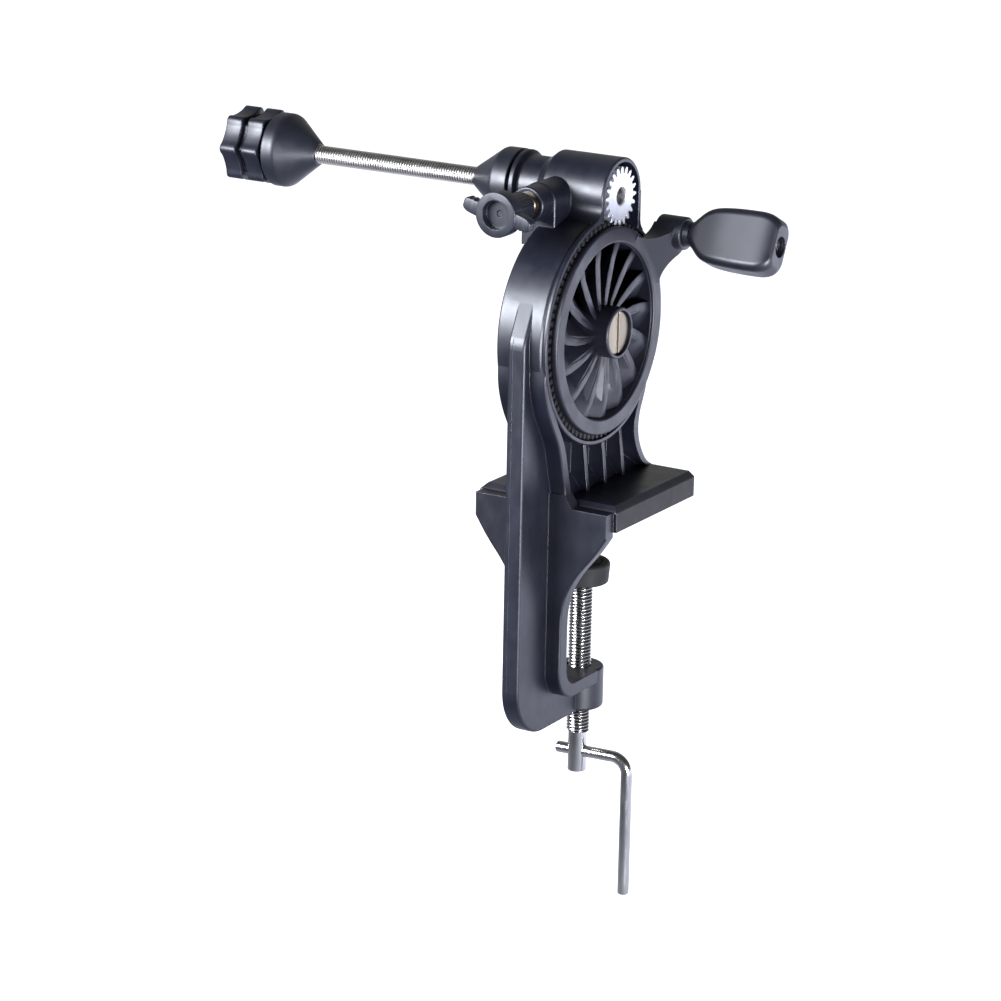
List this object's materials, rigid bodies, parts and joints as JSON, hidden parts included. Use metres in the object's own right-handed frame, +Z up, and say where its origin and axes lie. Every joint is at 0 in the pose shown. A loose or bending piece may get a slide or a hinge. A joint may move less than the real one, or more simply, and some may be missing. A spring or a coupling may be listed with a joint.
{
  "type": "fishing line winder",
  "caption": "Table-clamp line winder: turbine-spoked crank wheel geared to a threaded spool rod with two cones, star knob, wing brake screw, and bar-handled clamp.",
  "frame": {"origin": "on the clamp screw's axis, on the underside of the upper jaw, the face that rests on the table", "axes": "+X along the spool rod from the star knob to the crank, +Y over the table, +Z up"},
  "size_m": [0.2492, 0.1054, 0.322],
  "materials": {
    "frame_plastic": "fine satin moulded black",
    "wheel_plastic": "satin moulded black, a little lighter on its flange",
    "grip_plastic": "smooth satin black",
    "cone_plastic": "smooth black",
    "knob_plastic": "smooth black",
    "pad_rubber": "dull black",
    "screw_steel": "bright zinc plated",
    "part_steel": "turned",
    "gear_metal": "near-white cast metal",
    "brass": "turned, slightly dull"
  },
  "bodies": {
    "frame": {"main_frame": "frame_plastic", "rear_bush": "brass", "front_bush": "brass", "tension_insert": "brass", "clamp_insert": "brass", "crank_axle": "part_steel", "crank_axle_screw": "brass", "axle_washer": "part_steel", "hub_washer": "part_steel", "spindle_washer": "part_steel"},
    "crank": {"crank_wheel": "wheel_plastic", "drive_gear": "wheel_plastic", "hub_bush": "brass", "grip_pin": "part_steel", "grip_screw": "part_steel", "grip_collar": "grip_plastic"},
    "grip": {"grip": "grip_plastic"},
    "spindle": {"spindle_rod": "screw_steel", "spindle_sleeve": "part_steel", "pinion": "gear_metal", "inner_cone": "cone_plastic", "cone_lock_nut": "part_steel"},
    "sliding_cone": {"outer_cone": "cone_plastic", "knob_washer": "part_steel"},
    "star_knob": {"clamp_knob": "knob_plastic", "knob_insert": "brass"},
    "brake": {"brake_shoe": "pad_rubber"},
    "wing": {"tension_screw": "screw_steel", "wing_knob": "knob_plastic"},
    "pad": {"clamp_pad": "pad_rubber", "pad_plate": "part_steel"},
    "screw": {"clamp_screw": "screw_steel", "pad_clip": "part_steel"},
    "handle": {"clamp_handle": "screw_steel"}
  },
  "joints": [
    {"name": "crank_turn", "type": "hinge", "parent": "frame", "child": "crank", "pos_m": [0, -0.0064, 0.0778], "axis": [1, 0, 0], "continuous": true},
    {"name": "spindle_turn", "type": "hinge", "parent": "frame", "child": "spindle", "pos_m": [0, 0.0046, 0.13239], "axis": [1, 0, 0], "continuous": true},
    {"name": "grip_spin", "type": "hinge", "parent": "crank", "child": "grip", "pos_m": [0.026, 0.03579, 0.11308], "axis": [1, 0, 0], "continuous": true},
    {"name": "cone_slide", "type": "slide", "parent": "spindle", "child": "sliding_cone", "axis": [1, 0, 0], "range_m": [-0.008, 0.078]},
    {"name": "knob_turn", "type": "hinge", "parent": "sliding_cone", "child": "star_knob", "pos_m": [-0.17, 0.0046, 0.13239], "axis": [1, 0, 0], "range_deg": [-2305, 22465]},
    {"name": "brake_slide", "type": "slide", "parent": "frame", "child": "brake", "axis": [0, 1, 0], "range_m": [-0.003, 0.0003]},
    {"name": "wing_turn", "type": "hinge", "parent": "brake", "child": "wing", "pos_m": [-0.011, -0.04, 0.13239], "axis": [0, 1, 0], "range_deg": [-865, 87.4]},
    {"name": "pad_slide", "type": "slide", "parent": "frame", "child": "pad", "axis": [0, 0, 1], "range_m": [-0.035, 0.0165]},
    {"name": "screw_turn", "type": "hinge", "parent": "pad", "child": "screw", "pos_m": [0, 0, -0.0805], "axis": [0, 0, 1], "range_deg": [-8401, 3961]},
    {"name": "handle_swing", "type": "hinge", "parent": "screw", "child": "handle", "pos_m": [0, 0, -0.1108], "axis": [0.9962, 0.0872, 0], "range_deg": [-90, 90]}
  ],
  "couplings": [
    {"joint": "spindle_turn", "follows": "crank_turn", "ratio": -3.95},
    {"joint": "knob_turn", "follows": "cone_slide", "rad_per_m": 5026.5},
    {"joint": "wing_turn", "follows": "brake_slide", "rad_per_m": 5026.5},
    {"joint": "screw_turn", "follows": "pad_slide", "rad_per_m": 4188.8}
  ]
}
